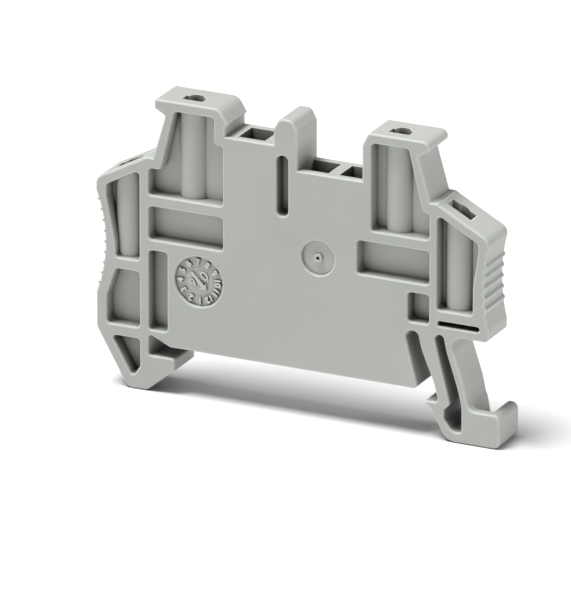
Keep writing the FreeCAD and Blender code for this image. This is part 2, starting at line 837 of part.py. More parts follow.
def round_upright(body):
    """Rounds the inner top edge of the foot's upright."""
    base = body.Tip
    edges = edge_along_y(base.Shape, s.foot_end - s.upright_wide, -s.foot_top_below)
    fillet = body.newObject("PartDesign::Fillet", "upright_rounding")
    fillet.Base = (base, edges)
    bind(fillet, "Radius", s.upright_round)
    return settle(body, fillet, grows=False)


def faces_at(shape, y):
    """Names the flat faces of a shape that lie in the plane at y."""
    names = []
    for number, face in enumerate(shape.Faces, start=1):
        box = face.BoundBox
        if box.YLength < EDGE_FIND and abs(box.YMin - y) < EDGE_FIND:
            names.append(f"Face{number}")
    return names


def break_edges(body, name, y):
    """Breaks every edge of a large face."""
    base = body.Tip
    chamfer = body.newObject("PartDesign::Chamfer", name)
    chamfer.Base = (base, faces_at(base.Shape, y.value))
    bind(chamfer, "Size", s.edge_break)
    return settle(body, chamfer, grows=False)


def end_stop(doc):
    """Builds the whole moulding as one body."""
    body = doc.addObject("PartDesign::Body", "end_stop")
    body.Label = "end_stop"
    seat_plate(body)
    left_tower(body)
    right_tower(body)
    centre_tab(body)
    sprung_arm(body)
    arm_slot(body)
    pry_slot(body)
    round_upright(body)
    pockets = [tower_pockets(body), middle_pockets(body), shoulder_pockets(body), leg_pockets(body), slits(body)]
    mirror_to_back(body, pockets)
    columns(body)
    shoulders(body)
    left = (s.left_waist_low, s.left_waist_high, s.left_waist_depth)
    right = (s.right_waist_low, s.right_waist_high, s.right_waist_depth)
    waist(body, -1, "left_waist", *left)
    waist(body, 1, "right_waist", *right)
    mould_marks(body)
    break_edges(body, "front_edges", -s.thickness / 2)
    finger_ridges(body, -1, "left_ridges", left, s.left_ridges,
                  s.left_ridge_height, s.left_ridge_above, s.left_ridge_below)
    finger_ridges(body, 1, "right_ridges", right, s.right_ridges,
                  s.right_ridge_height, s.right_ridge_above, s.right_ridge_below)
    ledge_sockets(body)
    tower_slot = (s.tower_marker_wide, s.tower_marker_front, s.tower_marker_back)
    marker_holes(body, "tower", s.left_tower_column, s.right_tower_column, s.crown_height,
                 tower_slot, s.tower_marker_depth)
    shoulder_slot = (s.shoulder_marker_wide, s.shoulder_marker_front, s.shoulder_marker_back)
    marker_holes(body, "shoulder", s.left_shoulder_column, s.right_shoulder_column, s.notch_height,
                 shoulder_slot, s.shoulder_marker_depth)
    return body


def check(doc, bodies):
    """Stops if any object failed or any shape is not one sound solid."""
    for thing in doc.Objects:
        if "Invalid" in thing.State or "Error" in thing.State:
            raise RuntimeError(f"{thing.Label} failed: {thing.State}")
    for body in bodies:
        shape = body.Shape
        if shape.isNull() or not shape.isValid() or len(shape.Solids) != 1:
            raise RuntimeError(f"{body.Label} is not one sound solid")


def main():
    """Builds the document and writes one STEP file for each sub-part."""
    doc = FreeCAD.newDocument("end_stop")
    make_sheet(doc)
    bodies = [end_stop(doc)]
    doc.recompute()
    check(doc, bodies)
    os.makedirs("parts", exist_ok=True)
    for body in bodies:
        body.Shape.exportStep(f"parts/{body.Label}.step")


main()
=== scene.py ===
import math

import bmesh
import bpy
from mathutils import Matrix, Vector


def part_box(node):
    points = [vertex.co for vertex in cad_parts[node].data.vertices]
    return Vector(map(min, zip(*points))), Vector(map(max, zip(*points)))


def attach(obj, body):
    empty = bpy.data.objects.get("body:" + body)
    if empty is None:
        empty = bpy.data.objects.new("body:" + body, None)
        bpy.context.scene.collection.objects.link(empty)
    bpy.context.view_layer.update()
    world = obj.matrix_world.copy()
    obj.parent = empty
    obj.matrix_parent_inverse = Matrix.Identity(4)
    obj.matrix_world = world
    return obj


# The grey polyamide end stop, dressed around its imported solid. Coordinates are metres in the part's own
# frame: X across the rail, Y along it, Z up, with the seat on the rail at the origin.

bl_info = {
    "name": "Rail end stop",
    "version": (1, 0, 0),
    "blender": (4, 5, 0),
    "location": "3D View > Sidebar > End stop",
    "description": "Finishes the moulded end stop: plastic, date dial, floor, light and camera",
    "category": "Object",
}

MM = 0.001
# Points closer than this are merged
WELD = 1e-7

# How fine the grain is, as a noise scale per metre: on the moulding and on the dial insert
GRAIN_SCALE = 5200.0
INSERT_GRAIN_SCALE = 9000.0

# The digits of the year on the inner disc: type size, and place across and along the arrow
YEAR_DIGITS = (
    ("0", 1.6 * MM, -0.93 * MM, -0.14 * MM),
    ("6", 1.35 * MM, 0.72 * MM, -0.4 * MM),
)

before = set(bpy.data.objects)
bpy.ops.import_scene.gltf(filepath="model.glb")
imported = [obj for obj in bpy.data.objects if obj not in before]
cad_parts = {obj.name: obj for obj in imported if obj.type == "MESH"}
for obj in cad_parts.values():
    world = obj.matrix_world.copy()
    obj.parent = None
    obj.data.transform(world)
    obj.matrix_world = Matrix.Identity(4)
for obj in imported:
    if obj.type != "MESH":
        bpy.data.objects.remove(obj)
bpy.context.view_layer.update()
front_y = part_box("end_stop")[0].y
sole_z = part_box("end_stop")[0].z


# Settings that a user would change

class DialSettings(bpy.types.PropertyGroup):
    """The date dial in the front face."""

    centre_x: bpy.props.FloatProperty(
        name="Centre across", description="Dial centre across the rail", default=-11.57 * MM, unit="LENGTH")
    centre_z: bpy.props.FloatProperty(
        name="Centre height", description="Dial centre above the seat", default=8.5 * MM, unit="LENGTH")
    recess: bpy.props.FloatProperty(
        name="Recess", description="Depth of the dial's recess", default=0.45 * MM, unit="LENGTH")
    rotor_radius: bpy.props.FloatProperty(
        name="Rotor radius", description="Radius of the inner disc", default=1.68 * MM, unit="LENGTH")
    rotor_height: bpy.props.FloatProperty(
        name="Rotor height", description="How far the inner disc stands up", default=0.05 * MM, unit="LENGTH")
    numeral_ring: bpy.props.FloatProperty(
        name="Numeral ring", description="Radius of the ring of numerals", default=2.3 * MM, unit="LENGTH")
    numeral_size: bpy.props.FloatProperty(
        name="Numeral size", description="Type size of the numerals", default=1.0 * MM, unit="LENGTH")
    numeral_weight: bpy.props.FloatProperty(
        name="Numeral weight", description="How much the strokes are thickened on each side",
        default=0.055 * MM, unit="LENGTH")
    relief: bpy.props.FloatProperty(
        name="Relief", description="How far numerals and arrow stand up", default=0.3 * MM, unit="LENGTH")
    first_angle: bpy.props.FloatProperty(
        name="First numeral", description="Clockwise angle from the top to the first numeral",
        default=math.radians(176.6), subtype="ANGLE")
    arrow_angle: bpy.props.FloatProperty(
        name="Arrow", description="Clockwise angle from the top to where the arrow points",
        default=math.radians(136), subtype="ANGLE")


class PlasticSettings(bpy.types.PropertyGroup):
    """The grey polyamide."""

    colour: bpy.props.FloatVectorProperty(
        name="Colour", description="Base colour of the polyamide", default=(0.43, 0.447, 0.415), size=3,
        min=0, max=1, subtype="COLOR")
    tint: bpy.props.FloatVectorProperty(
        name="Tint", description="Colour that the broad patches drift to", default=(0.46, 0.474, 0.444),
        size=3, min=0, max=1, subtype="COLOR")
    roughness: bpy.props.FloatProperty(
        name="Roughness", description="Roughness of the moulded surface", default=0.5, min=0, max=1)
    insert_roughness: bpy.props.FloatProperty(
        name="Insert roughness", description="Roughness left by the polished dial insert", default=0.36,
        min=0, max=1)
    # Painted highlight: the dial's raised strokes get a lighter copy of the colour.
    stroke_lightness: bpy.props.FloatProperty(
        name="Stroke lightness", description="How light the dial's raised strokes are beside the rest",
        default=1.2, min=0.5, max=2)
    grain: bpy.props.FloatProperty(
        name="Grain", description="Depth of the surface grain", default=0.012 * MM, unit="LENGTH")
    edge_width: bpy.props.FloatProperty(
        name="Edge width", description="Radius of the softened edges", default=0.12 * MM, unit="LENGTH")
    # Painted highlight: how much lighter the colour is drawn along the edges.
    edge_lift: bpy.props.FloatProperty(
        name="Edge lift", description="How much lighter the rubbed edges are", default=1.4, min=0, max=2)
    # Painted shade: the colour is darkened in crevices, by how closed in they are.
    crevice_reach: bpy.props.FloatProperty(
        name="Crevice reach", description="How wide an opening still counts as a crevice", default=8.0 * MM,
        unit="LENGTH")
    crevice_dark: bpy.props.FloatProperty(
        name="Crevice dark", description="How much darker the crevices are", default=0.9, min=0, max=1)
    # Painted shade: the colour is darkened in the inner corners.
    corner_reach: bpy.props.FloatProperty(
        name="Corner reach", description="How far from a corner its dust reaches", default=0.35 * MM,
        unit="LENGTH")
    corner_dark: bpy.props.FloatProperty(
        name="Corner dark", description="How much darker dust makes the inner corners", default=0.55,
        min=0, max=1)


class StageSettings(bpy.types.PropertyGroup):
    """The floor, light and camera."""

    floor_colour: bpy.props.FloatVectorProperty(
        name="Floor", description="Colour of the floor", default=(0.8, 0.8, 0.8), size=3, min=0, max=1,
        subtype="COLOR")
    main_light: bpy.props.FloatProperty(
        name="Main light", description="Strength of the high main light", default=3.75, min=0)
    front_light: bpy.props.FloatProperty(
        name="Front light", description="Strength of the weak light from the front left", default=0.38, min=0)
    right_light: bpy.props.FloatProperty(
        name="Right light", description="Strength of the weak light from the right", default=0.85, min=0)
    room_light: bpy.props.FloatProperty(
        name="Room light", description="Brightness of the room around the part", default=0.18, min=0)
    azimuth: bpy.props.FloatProperty(
        name="Azimuth", description="Camera's turn towards the arm's side", default=math.radians(25.5),
        subtype="ANGLE")
    elevation: bpy.props.FloatProperty(
        name="Elevation", description="Camera's height as an angle", default=math.radians(20.4),
        subtype="ANGLE")
    lens: bpy.props.FloatProperty(
        name="Lens", description="Focal length in millimetres", default=800.0)
    seen_width: bpy.props.FloatProperty(
        name="Seen width", description="Width at the object that fills the picture, in millimetres",
        default=571 / 8.87)
    aim: bpy.props.FloatVectorProperty(
        name="Aim", description="Point in the middle of the picture",
        default=(-0.64 * MM, -2.575 * MM, 8.08 * MM), size=3, subtype="XYZ")


# Helpers for meshes

def finished(name, mesh, material):
    """Makes an object of a mesh that is already in place, gives it its material and its body."""
    piece = bpy.data.objects.new(name, mesh)
    bpy.context.scene.collection.objects.link(piece)
    mesh.materials.clear()
    mesh.materials.append(material)
    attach(piece, "root")
    return piece


def extrude_outline(work, points, height):
    """Adds a closed slab over an outline in the XY plane, given anticlockwise."""
    low = [work.verts.new((x, y, 0)) for x, y in points]
    high = [work.verts.new((x, y, height)) for x, y in points]
    work.faces.new(list(reversed(low)))
    work.faces.new(high)
    for corner in range(len(points)):
        after = (corner + 1) % len(points)
        work.faces.new((low[corner], low[after], high[after], high[corner]))


def in_recess(dial, rise=0.0):
    """Turns a relief drawn in the XY plane to face the front, and sets it in the dial's recess."""
    place = Matrix.Translation((dial.centre_x, front_y + dial.recess - rise, dial.centre_z))
    return place @ Matrix.Rotation(math.radians(90), 4, "X")


# Shader node groups

def new_group(name, inputs, outputs):
    """Starts a shader node group with named sockets."""
    group = bpy.data.node_groups.new(name, "ShaderNodeTree")
    for label, kind, default in inputs:
        socket = group.interface.new_socket(label, in_out="INPUT", socket_type=kind)
        socket.default_value = default
    for label, kind in outputs:
        group.interface.new_socket(label, in_out="OUTPUT", socket_type=kind)
    start = group.nodes.new("NodeGroupInput")
    end = group.nodes.new("NodeGroupOutput")
    return group, start, end


def maths(tree, operation, *values):
    """A Math node in a node tree, whose inputs are sockets or plain numbers."""
    node = tree.nodes.new("ShaderNodeMath")
    node.operation = operation
    for socket, value in zip(node.inputs, values):
        if isinstance(value, float):
            socket.default_value = value
        else:
            tree.links.new(value, socket)
    return node.outputs[0]


def closeness(group, reach, open_at, closed_at):
    """How closed in a point is by the walls within reach, from 0 in the open to 1 deep in a corner."""
    around = group.nodes.new("ShaderNodeAmbientOcclusion")
    around.samples = 8
    group.links.new(reach, around.inputs["Distance"])
    closed = group.nodes.new("ShaderNodeMapRange")
    closed.inputs["From Min"].default_value = open_at
    closed.inputs["From Max"].default_value = closed_at
    group.links.new(around.outputs["AO"], closed.inputs["Value"])
    return closed.outputs["Result"]


def moulding_grain_group():
    """Fine grain and faint flow marks of a moulded surface, as a height and as a mask."""
    group, start, end = new_group(
        "moulding grain",
        [("Vector", "NodeSocketVector", (0, 0, 0)), ("Grain Scale", "NodeSocketFloat", GRAIN_SCALE)],
        [("Height", "NodeSocketFloat"), ("Mask", "NodeSocketFloat")])
    fine = group.nodes.new("ShaderNodeTexNoise")
    fine.inputs["Detail"].default_value = 3.0
    fine.inputs["Roughness"].default_value = 0.6
    broad = group.nodes.new("ShaderNodeTexNoise")
    broad.inputs["Scale"].default_value = 420.0
    broad.inputs["Detail"].default_value = 2.0
    flow_share = 2.5
    links = group.links
    links.new(start.outputs["Vector"], fine.inputs["Vector"])
    links.new(start.outputs["Grain Scale"], fine.inputs["Scale"])
    links.new(start.outputs["Vector"], broad.inputs["Vector"])
    height = maths(group, "MULTIPLY_ADD", broad.outputs["Fac"], flow_share, fine.outputs["Fac"])
    links.new(height, end.inputs["Height"])
    links.new(fine.outputs["Fac"], end.inputs["Mask"])
    return group


def tone_drift_group():
    """Broad, faint patches in which the colour drifts to its tint."""
    group, start, end = new_group(
        "tone drift",
        [("Vector", "NodeSocketVector", (0, 0, 0)), ("Colour", "NodeSocketColor", (0.4, 0.4, 0.4, 1)),
         ("Tint", "NodeSocketColor", (0.5, 0.5, 0.5, 1)), ("Patch Scale", "NodeSocketFloat", 90.0)],
        [("Colour", "NodeSocketColor")])
    patches = group.nodes.new("ShaderNodeTexNoise")
    patches.inputs["Detail"].default_value = 4.0
    patches.inputs["Roughness"].default_value = 0.55
    ramp = group.nodes.new("ShaderNodeMapRange")
    ramp.inputs["From Min"].default_value = 0.3
    ramp.inputs["From Max"].default_value = 0.7
    mix = group.nodes.new("ShaderNodeMix")
    mix.data_type = "RGBA"
    links = group.links
    links.new(start.outputs["Vector"], patches.inputs["Vector"])
    links.new(start.outputs["Patch Scale"], patches.inputs["Scale"])
    links.new(patches.outputs["Fac"], ramp.inputs["Value"])
    links.new(ramp.outputs["Result"], mix.inputs["Factor"])
    links.new(start.outputs["Colour"], mix.inputs["A"])
    links.new(start.outputs["Tint"], mix.inputs["B"])
    links.new(mix.outputs["Result"], end.inputs["Colour"])
    return group


def edges_and_crevices_group():
    """Painted highlights on the edges and painted shade in crevices and corners, both in the colour, with the
    normal of softened edges.
    """
    group, start, end = new_group(
        "edges and crevices",
        [("Colour", "NodeSocketColor", (0.4, 0.4, 0.4, 1)), ("Edge Width", "NodeSocketFloat", 0.0001),
         ("Edge Lift", "NodeSocketFloat", 0.1), ("Crevice Reach", "NodeSocketFloat", 0.003),
         ("Crevice Dark", "NodeSocketFloat", 0.5), ("Corner Reach", "NodeSocketFloat", 0.001),
         ("Corner Dark", "NodeSocketFloat", 0.5)],
        [("Colour", "NodeSocketColor"), ("Normal", "NodeSocketVector")])
    links = group.links
    soft = group.nodes.new("ShaderNodeBevel")
    soft.samples = 6
    links.new(start.outputs["Edge Width"], soft.inputs["Radius"])
    plain = group.nodes.new("ShaderNodeNewGeometry")
    agree = group.nodes.new("ShaderNodeVectorMath")
    agree.operation = "DOT_PRODUCT"
    links.new(soft.outputs["Normal"], agree.inputs[0])
    links.new(plain.outputs["Normal"], agree.inputs[1])
    # Edge mask for the painted highlight: where the softened normal turns away from the plain one.
    edge = group.nodes.new("ShaderNodeMapRange")
    still_flat = 0.995
    full_edge = 0.9
    edge.inputs["From Min"].default_value = still_flat
    edge.inputs["From Max"].default_value = full_edge
    links.new(agree.outputs["Value"], edge.inputs["Value"])
    # Masks for painted shade: ambient occlusion at two reaches finds crevices and inner corners.
    crevice = closeness(group, start.outputs["Crevice Reach"], open_at=0.46, closed_at=0.12)
    corner = closeness(group, start.outputs["Corner Reach"], open_at=0.85, closed_at=0.3)
    open_edge = maths(group, "MULTIPLY_ADD", corner, -1.0, 1.0)
    # Painted highlight on the edges, kept out of the inner corners.
    painted_highlight = maths(group, "MULTIPLY", edge.outputs["Result"], open_edge)
    lift = maths(group, "MULTIPLY_ADD", painted_highlight, start.outputs["Edge Lift"], 1.0)
    # Painted shade: the colour is darkened in crevices and in inner corners.
    crevice_loss = maths(group, "MULTIPLY", crevice, start.outputs["Crevice Dark"])
    crevice_keep = maths(group, "MULTIPLY_ADD", crevice_loss, -1.0, 1.0)
    corner_loss = maths(group, "MULTIPLY", corner, start.outputs["Corner Dark"])
    corner_keep = maths(group, "MULTIPLY_ADD", corner_loss, -1.0, 1.0)
    factor = maths(group, "MULTIPLY", lift, maths(group, "MULTIPLY", crevice_keep, corner_keep))
    scaled = group.nodes.new("ShaderNodeVectorMath")
    scaled.operation = "SCALE"
    links.new(start.outputs["Colour"], scaled.inputs[0])
    links.new(factor, scaled.inputs["Scale"])
    links.new(scaled.outputs["Vector"], end.inputs["Colour"])
    links.new(soft.outputs["Normal"], end.inputs["Normal"])
    return group


# Grey polyamide

def moulded_finish(plastic):
    """The finish of the moulding's own surface."""
    return {
        "roughness": plastic.roughness,
        "grain_depth": plastic.grain,
        "grain_scale": GRAIN_SCALE,
        "edge_width": plastic.edge_width,
        "corner_reach": plastic.corner_reach,
    }


def insert_finish(plastic):
    """The smoother finish that the dial insert leaves, with finer grain and crisper edges."""
    return {
        "roughness": plastic.insert_roughness,
        "grain_depth": plastic.grain / 3,
        "grain_scale": INSERT_GRAIN_SCALE,
        "edge_width": plastic.edge_width / 4,
        "corner_reach": plastic.corner_reach * 1.1,
    }


def plastic_material(name, plastic, finish, painted_lightness=1.0):
    """Grey polyamide: grain in the bump and the roughness; patches, painted highlights on the edges and
    painted shade in crevices and corners in the colour. A painted lightness above one makes the whole colour
    lighter, as a painted highlight.
    """
    roughness_spread = 0.07
    material = bpy.data.materials.new(name)
    material.use_nodes = True
    nodes = material.node_tree.nodes
    links = material.node_tree.links
    shader = nodes["Principled BSDF"]
    shader.inputs["IOR"].default_value = 1.5
    shader.inputs["Specular IOR Level"].default_value = 0.45
    place = nodes.new("ShaderNodeTexCoord")
    grain = nodes.new("ShaderNodeGroup")
    grain.node_tree = bpy.data.node_groups.get("moulding grain") or moulding_grain_group()
    grain.inputs["Grain Scale"].default_value = finish["grain_scale"]
    tone = nodes.new("ShaderNodeGroup")
    tone.node_tree = bpy.data.node_groups.get("tone drift") or tone_drift_group()
    tone.inputs["Colour"].default_value = (*[part * painted_lightness for part in plastic.colour], 1)
    tone.inputs["Tint"].default_value = (*[part * painted_lightness for part in plastic.tint], 1)
    # Painted highlight on the edges and painted shade in crevices and corners.
    edges = nodes.new("ShaderNodeGroup")
    edges.node_tree = bpy.data.node_groups.get("edges and crevices") or edges_and_crevices_group()
    edges.inputs["Edge Width"].default_value = finish["edge_width"]
    edges.inputs["Edge Lift"].default_value = plastic.edge_lift
    edges.inputs["Crevice Reach"].default_value = plastic.crevice_reach
    edges.inputs["Crevice Dark"].default_value = plastic.crevice_dark
    edges.inputs["Corner Reach"].default_value = finish["corner_reach"]
    edges.inputs["Corner Dark"].default_value = plastic.corner_dark
    bump = nodes.new("ShaderNodeBump")
    bump.inputs["Strength"].default_value = 0.35
    bump.inputs["Distance"].default_value = finish["grain_depth"]
    rough = nodes.new("ShaderNodeMapRange")
    rough.inputs["To Min"].default_value = finish["roughness"] - roughness_spread
    rough.inputs["To Max"].default_value = finish["roughness"] + roughness_spread
    links.new(place.outputs["Object"], grain.inputs["Vector"])
    links.new(place.outputs["Object"], tone.inputs["Vector"])
    links.new(grain.outputs["Height"], bump.inputs["Height"])
    links.new(grain.outputs["Mask"], rough.inputs["Value"])
    links.new(rough.outputs["Result"], shader.inputs["Roughness"])
    links.new(tone.outputs["Colour"], edges.inputs["Colour"])
    links.new(edges.outputs["Colour"], shader.inputs["Base Color"])
    links.new(edges.outputs["Normal"], bump.inputs["Normal"])
    links.new(bump.outputs["Normal"], shader.inputs["Normal"])
    return material


# The moulding itself

class ENDSTOP_OT_finish_moulding(bpy.types.Operator):
    """Gives the moulding its grey polyamide"""

    bl_idname = "endstop.finish_moulding"
    bl_label = "Finish the moulding"

    def execute(self, context):
        plastic = context.scene.endstop_plastic
        material = plastic_material("grey_polyamide", plastic, moulded_finish(plastic))
        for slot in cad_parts["end_stop"].material_slots:
            slot.material = material
        return {"FINISHED"}


# The date dial

class NumeralTree:
    """Geometry nodes that set the numerals of a dial in a ring, each standing up as relief."""

    def __init__(self):
        self.tree = bpy.data.node_groups.new("dial numerals", "GeometryNodeTree")
        for label, kind in (
            ("Ring Radius", "NodeSocketFloat"),
            ("Type Size", "NodeSocketFloat"),
            ("Weight", "NodeSocketFloat"),
            ("Relief", "NodeSocketFloat"),
            ("First Angle", "NodeSocketFloat"),
            ("Material", "NodeSocketMaterial"),
        ):
            self.tree.interface.new_socket(label, in_out="INPUT", socket_type=kind)
        self.tree.interface.new_socket("Geometry", in_out="OUTPUT", socket_type="NodeSocketGeometry")
        self.start = self.add("NodeGroupInput")
        self.end = self.add("NodeGroupOutput")

    def add(self, kind, **settings):
        """A new node with its settings."""
        node = self.tree.nodes.new(kind)
        for name, value in settings.items():
            setattr(node, name, value)
        return node

    def link(self, source, target):
        """Joins an output socket to an input socket."""
        self.tree.links.new(source, target)

    def thick_outline(self, letters):
        """An upright band along the outline of a numeral, which makes its strokes bolder."""
        relief = self.start.outputs["Relief"]
        below_top = 0.94
        flat = self.add("GeometryNodeSetCurveNormal", mode="Z_UP")
        self.link(letters, flat.inputs["Curve"])
        profile = self.add("GeometryNodeCurvePrimitiveQuadrilateral")
        self.link(maths(self.tree, "MULTIPLY", self.start.outputs["Weight"], 2.0), profile.inputs["Width"])
        self.link(maths(self.tree, "MULTIPLY", relief, below_top), profile.inputs["Height"])
        band = self.add("GeometryNodeCurveToMesh")
        self.link(flat.outputs["Curve"], band.inputs["Curve"])
        self.link(profile.outputs["Curve"], band.inputs["Profile Curve"])
        rise = self.add("ShaderNodeCombineXYZ")
        self.link(maths(self.tree, "MULTIPLY", relief, 0.5), rise.inputs["Z"])
        lifted = self.add("GeometryNodeTransform")
        self.link(band.outputs["Mesh"], lifted.inputs["Geometry"])
        self.link(rise.outputs["Vector"], lifted.inputs["Translation"])
        return lifted.outputs["Geometry"]

    def numeral(self, text, turn):
        """One numeral, filled and thickened, moved out to the ring and turned to its place on it."""
        letters = self.add("GeometryNodeStringToCurves", align_x="CENTER", align_y="MIDDLE")
        letters.inputs["String"].default_value = text
        letters.inputs["Character Spacing"].default_value = 1.02
        self.link(self.start.outputs["Type Size"], letters.inputs["Size"])
        real = self.add("GeometryNodeRealizeInstances")
        self.link(letters.outputs["Curve Instances"], real.inputs["Geometry"])
        fill = self.add("GeometryNodeFillCurve")
        self.link(real.outputs["Geometry"], fill.inputs["Curve"])
        top = self.add("GeometryNodeExtrudeMesh")
        top.inputs["Individual"].default_value = False
        self.link(fill.outputs["Mesh"], top.inputs["Mesh"])
        self.link(self.start.outputs["Relief"], top.inputs["Offset Scale"])
        back = self.add("GeometryNodeFlipFaces")
        self.link(fill.outputs["Mesh"], back.inputs["Mesh"])
        both = self.add("GeometryNodeJoinGeometry")
        self.link(top.outputs["Mesh"], both.inputs["Geometry"])
        self.link(back.outputs["Mesh"], both.inputs["Geometry"])
        weld = self.add("GeometryNodeMergeByDistance")
        weld.inputs["Distance"].default_value = WELD
        self.link(both.outputs["Geometry"], weld.inputs["Geometry"])
        bold = self.add("GeometryNodeJoinGeometry")
        self.link(weld.outputs["Geometry"], bold.inputs["Geometry"])
        self.link(self.thick_outline(real.outputs["Geometry"]), bold.inputs["Geometry"])
        out = self.add("ShaderNodeCombineXYZ")
        self.link(self.start.outputs["Ring Radius"], out.inputs["Y"])
        move = self.add("GeometryNodeTransform")
        self.link(bold.outputs["Geometry"], move.inputs["Geometry"])
        self.link(out.outputs["Vector"], move.inputs["Translation"])
        angle = maths(self.tree, "ADD", self.start.outputs["First Angle"], turn)
        clockwise = maths(self.tree, "MULTIPLY", angle, -1.0)
        spin = self.add("ShaderNodeCombineXYZ")
        self.link(clockwise, spin.inputs["Z"])
        place = self.add("GeometryNodeTransform")
        self.link(move.outputs["Geometry"], place.inputs["Geometry"])
        self.link(spin.outputs["Vector"], place.inputs["Rotation"])
        return place.outputs["Geometry"]

    def finish(self, numerals):
        """Joins the numerals and closes the tree."""
        ring = self.add("GeometryNodeJoinGeometry")
        for numeral in numerals:
            self.link(numeral, ring.inputs["Geometry"])
        real = self.add("GeometryNodeRealizeInstances")
        self.link(ring.outputs["Geometry"], real.inputs["Geometry"])
        paint = self.add("GeometryNodeSetMaterial")
        self.link(real.outputs["Geometry"], paint.inputs["Geometry"])
        self.link(self.start.outputs["Material"], paint.inputs["Material"])
        self.link(paint.outputs["Geometry"], self.end.inputs["Geometry"])
        return self.tree


def evaluate_tree(name, tree, values):
    """Runs a geometry nodes tree with its named inputs and returns the result as a plain mesh."""
    carrier = bpy.data.objects.new(name, bpy.data.meshes.new(name))
    bpy.context.scene.collection.objects.link(carrier)
    modifier = carrier.modifiers.new(name, "NODES")
    modifier.node_group = tree
    for item in tree.interface.items_tree:
        if item.in_out == "INPUT" and item.name in values:
            modifier[item.identifier] = values[item.name]
    depsgraph = bpy.context.evaluated_depsgraph_get()
    mesh = bpy.data.meshes.new_from_object(carrier.evaluated_get(depsgraph))
    carrier.modifiers.remove(modifier)
    bpy.data.objects.remove(carrier)
    return mesh


def numeral_ring(dial, material):
    """The numerals 1 to 12 around the dial."""
    builder = NumeralTree()
    month_step = math.radians(30)
    numerals = [builder.numeral(str(month), month_step * (month - 1)) for month in range(1, 13)]
    tree = builder.finish(numerals)
    mesh = evaluate_tree("dial_numerals", tree, {
        "Ring Radius": dial.numeral_ring,
        "Type Size": dial.numeral_size,
        "Weight": dial.numeral_weight,
        "Relief": dial.relief,
        "First Angle": dial.first_angle,
        "Material": material,
    })
    mesh.transform(in_recess(dial))
    return finished("dial_numerals", mesh, material)


def lathe(work, profile, steps=96):
    """Adds a turned solid from its profile of radius and height, first and last point on the axis."""
    rings = []
    for radius, height in profile[1:-1]:
        ring = []
        for step in range(steps):
            angle = step * 2 * math.pi / steps
            ring.append(work.verts.new((radius * math.cos(angle), radius * math.sin(angle), height)))
        rings.append(ring)
    bottom = work.verts.new((0, 0, profile[0][1]))
    top = work.verts.new((0, 0, profile[-1][1]))
    for step in range(steps):
        after = (step + 1) % steps
        work.faces.new((bottom, rings[0][after], rings[0][step]))
        work.faces.new((top, rings[-1][step], rings[-1][after]))
        for low, high in zip(rings, rings[1:]):
            work.faces.new((low[step], low[after], high[after], high[step]))


def rotor_disc(dial, material):
    """The inner disc of the dial, a turned form with a chamfered rim and a groove inside it."""
    work = bmesh.new()
    radius = dial.rotor_radius
    high = dial.rotor_height
    bedded = -0.02 * MM
    chamfer = 0.05 * MM
    groove_outer = radius - chamfer * 3
    groove_inner = radius - chamfer * 5
    groove_slope = chamfer * 0.6
    groove_floor = high - chamfer * 0.5
    lathe(work, [
        (0, bedded),
        (radius, bedded),
        (radius, high - chamfer),
        (radius - chamfer, high),
        (groove_outer, high),
        (groove_outer - groove_slope, groove_floor),
        (groove_inner + groove_slope, groove_floor),
        (groove_inner, high),
        (0, high),
    ])
    mesh = bpy.data.meshes.new("dial_rotor")
    work.to_mesh(mesh)
    work.free()
    mesh.transform(in_recess(dial))
    return finished("dial_rotor", mesh, material)


def arrow(dial, material):
    """The arrow across the inner disc, with its top edges rounded off."""
    length = dial.rotor_radius * 1.63
    tip = length / 2
    shaft = 0.14 * MM
    barb = 0.5 * MM
    head_root = tip - 0.55 * MM
    barb_back = tip - 0.675 * MM
    work = bmesh.new()
    extrude_outline(work, [
        (-shaft, -tip),
        (shaft, -tip),
        (shaft, head_root),
        (barb, barb_back),
        (0, tip),
        (-barb, barb_back),
        (-shaft, head_root),
    ], dial.relief)
    top_edges = [edge for edge in work.edges if all(v.co.z > dial.relief / 2 for v in edge.verts)]
    bmesh.ops.bevel(work, geom=top_edges, offset=0.07 * MM, segments=2, affect="EDGES", profile=0.6)
    mesh = bpy.data.meshes.new("dial_arrow")
    work.to_mesh(mesh)
    work.free()
    mesh.transform(Matrix.Rotation(-dial.arrow_angle, 4, "Z"))
    mesh.transform(in_recess(dial, dial.rotor_height))
    return finished("dial_arrow", mesh, material)


def year_digit(text, size, across, along, dial, material):
    """A digit beside the arrow, upright in the direction that the arrow points."""
    curve = bpy.data.curves.new("dial_digit_" + text, "FONT")
    curve.body = text
    curve.size = size
    curve.align_x = "CENTER"
    curve.align_y = "CENTER"
    curve.extrude = dial.relief / 2
    curve.bevel_depth = 0.03 * MM
    curve.offset = 0.015 * MM
    source = bpy.data.objects.new("dial_digit_" + text, curve)
    bpy.context.scene.collection.objects.link(source)
    depsgraph = bpy.context.evaluated_depsgraph_get()
    mesh = bpy.data.meshes.new_from_object(source.evaluated_get(depsgraph))
    bpy.data.objects.remove(source)
    work = bmesh.new()
    work.from_mesh(mesh)
    bmesh.ops.remove_doubles(work, verts=work.verts, dist=WELD)
    bmesh.ops.recalc_face_normals(work, faces=work.faces)
    work.to_mesh(mesh)
    work.free()
    mesh.transform(Matrix.Translation((across, along, 0)))
    mesh.transform(Matrix.Rotation(-dial.arrow_angle, 4, "Z"))
    mesh.transform(in_recess(dial, dial.rotor_height))
    return finished("dial_digit_" + text, mesh, material)


